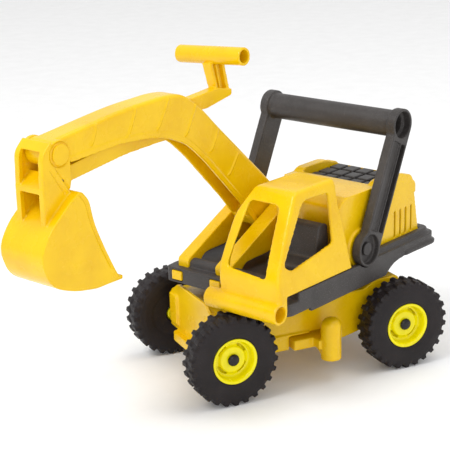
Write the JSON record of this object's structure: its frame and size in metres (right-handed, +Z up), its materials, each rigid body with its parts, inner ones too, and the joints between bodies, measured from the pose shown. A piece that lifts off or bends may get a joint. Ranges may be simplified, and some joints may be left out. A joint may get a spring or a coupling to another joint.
{
  "type": "toy excavator",
  "caption": "Toy wheeled excavator whose upper carriage turns on a four-wheeled chassis, with a hand lever on the boom that works the bucket and a carry handle over the engine.",
  "frame": {"origin": "centre of the bounding box's footprint, on the ground", "axes": "+X towards the front axle, +Y to the left of the chassis, +Z up"},
  "size_m": [0.3614, 0.1976, 0.2497],
  "materials": {
    "yellow_plastic": "glossy warm yellow, moulded",
    "rim_yellow_plastic": "glossy lemon yellow, moulded",
    "dark_grey_plastic": "dark grey wood-filled plastic with fine pale specks",
    "tyre_rubber": "matt brown-black",
    "cap_black_plastic": "glossy black",
    "steel": "plain bright steel"
  },
  "bodies": {
    "chassis": {"chassis": "yellow_plastic", "stabiliser_beam": "yellow_plastic", "front_axle": "steel", "rear_axle": "steel", "axle_cap_front_left": "cap_black_plastic", "axle_cap_front_right": "cap_black_plastic", "axle_cap_rear_left": "cap_black_plastic", "axle_cap_rear_right": "cap_black_plastic", "slew_washer": "steel", "slew_screw": "steel"},
    "upper": {"deck": "dark_grey_plastic", "cab": "yellow_plastic", "seat": "dark_grey_plastic", "engine_housing": "yellow_plastic", "engine_cover": "dark_grey_plastic", "boom_bracket": "yellow_plastic", "boom_pin": "steel", "handle_pin_left": "dark_grey_plastic", "handle_pin_right": "dark_grey_plastic"},
    "carry_handle": {"carry_handle": "dark_grey_plastic"},
    "boom": {"boom": "yellow_plastic", "lever_pin": "steel"},
    "lever": {"hand_lever": "yellow_plastic", "rod_pin_rear": "steel"},
    "rod": {"push_rod": "yellow_plastic"},
    "bucket": {"bucket": "yellow_plastic", "bucket_pin": "yellow_plastic", "rod_pin_front": "steel"},
    "wheel_front_left": {"tyre_front_left": "tyre_rubber", "rim_front_left": "rim_yellow_plastic"},
    "wheel_front_right": {"tyre_front_right": "tyre_rubber", "rim_front_right": "rim_yellow_plastic"},
    "wheel_rear_left": {"tyre_rear_left": "tyre_rubber", "rim_rear_left": "rim_yellow_plastic"},
    "wheel_rear_right": {"tyre_rear_right": "tyre_rubber", "rim_rear_right": "rim_yellow_plastic"}
  },
  "joints": [
    {"name": "slew", "type": "hinge", "parent": "chassis", "child": "upper", "pos_m": [-0.06145, -0.0002, 0.0714], "axis": [0, 0, 1], "continuous": true},
    {"name": "spin_front_left", "type": "hinge", "parent": "chassis", "child": "wheel_front_left", "pos_m": [0.01925, 0.0553, 0.0344], "axis": [0, 1, 0], "continuous": true},
    {"name": "spin_front_right", "type": "hinge", "parent": "chassis", "child": "wheel_front_right", "pos_m": [0.01925, -0.0557, 0.0344], "axis": [0, 1, 0], "continuous": true},
    {"name": "spin_rear_left", "type": "hinge", "parent": "chassis", "child": "wheel_rear_left", "pos_m": [-0.12415, 0.0553, 0.0344], "axis": [0, 1, 0], "continuous": true},
    {"name": "spin_rear_right", "type": "hinge", "parent": "chassis", "child": "wheel_rear_right", "pos_m": [-0.12415, -0.0557, 0.0344], "axis": [0, 1, 0], "continuous": true},
    {"name": "carry_handle_tilt", "type": "hinge", "parent": "upper", "child": "carry_handle", "pos_m": [-0.07019, -0.00418, 0.0965], "axis": [0.4147, -0.91, 0], "range_deg": [-15, 25]},
    {"name": "boom_lift", "type": "hinge", "parent": "upper", "child": "boom", "pos_m": [-0.05195, -0.02829, 0.1134], "axis": [0.4147, -0.91, 0], "range_deg": [-25, 25]},
    {"name": "lever_pivot", "type": "hinge", "parent": "boom", "child": "lever", "pos_m": [0.03996, 0.0136, 0.2124], "axis": [-0.4147, 0.91, 0], "range_deg": [-35, 20]},
    {"name": "bucket_pivot", "type": "hinge", "parent": "boom", "child": "bucket", "pos_m": [0.14824, 0.06295, 0.2059], "axis": [-0.4147, 0.91, 0], "range_deg": [-35, 20]},
    {"name": "rod_rear_pivot", "type": "hinge", "parent": "lever", "child": "rod", "pos_m": [0.03677, 0.01214, 0.1954], "axis": [-0.4147, 0.91, 0], "range_deg": [-20, 35]}
  ],
  "couplings": [
    {"joint": "bucket_pivot", "follows": "lever_pivot", "ratio": 1},
    {"joint": "rod_rear_pivot", "follows": "lever_pivot", "ratio": -1}
  ]
}
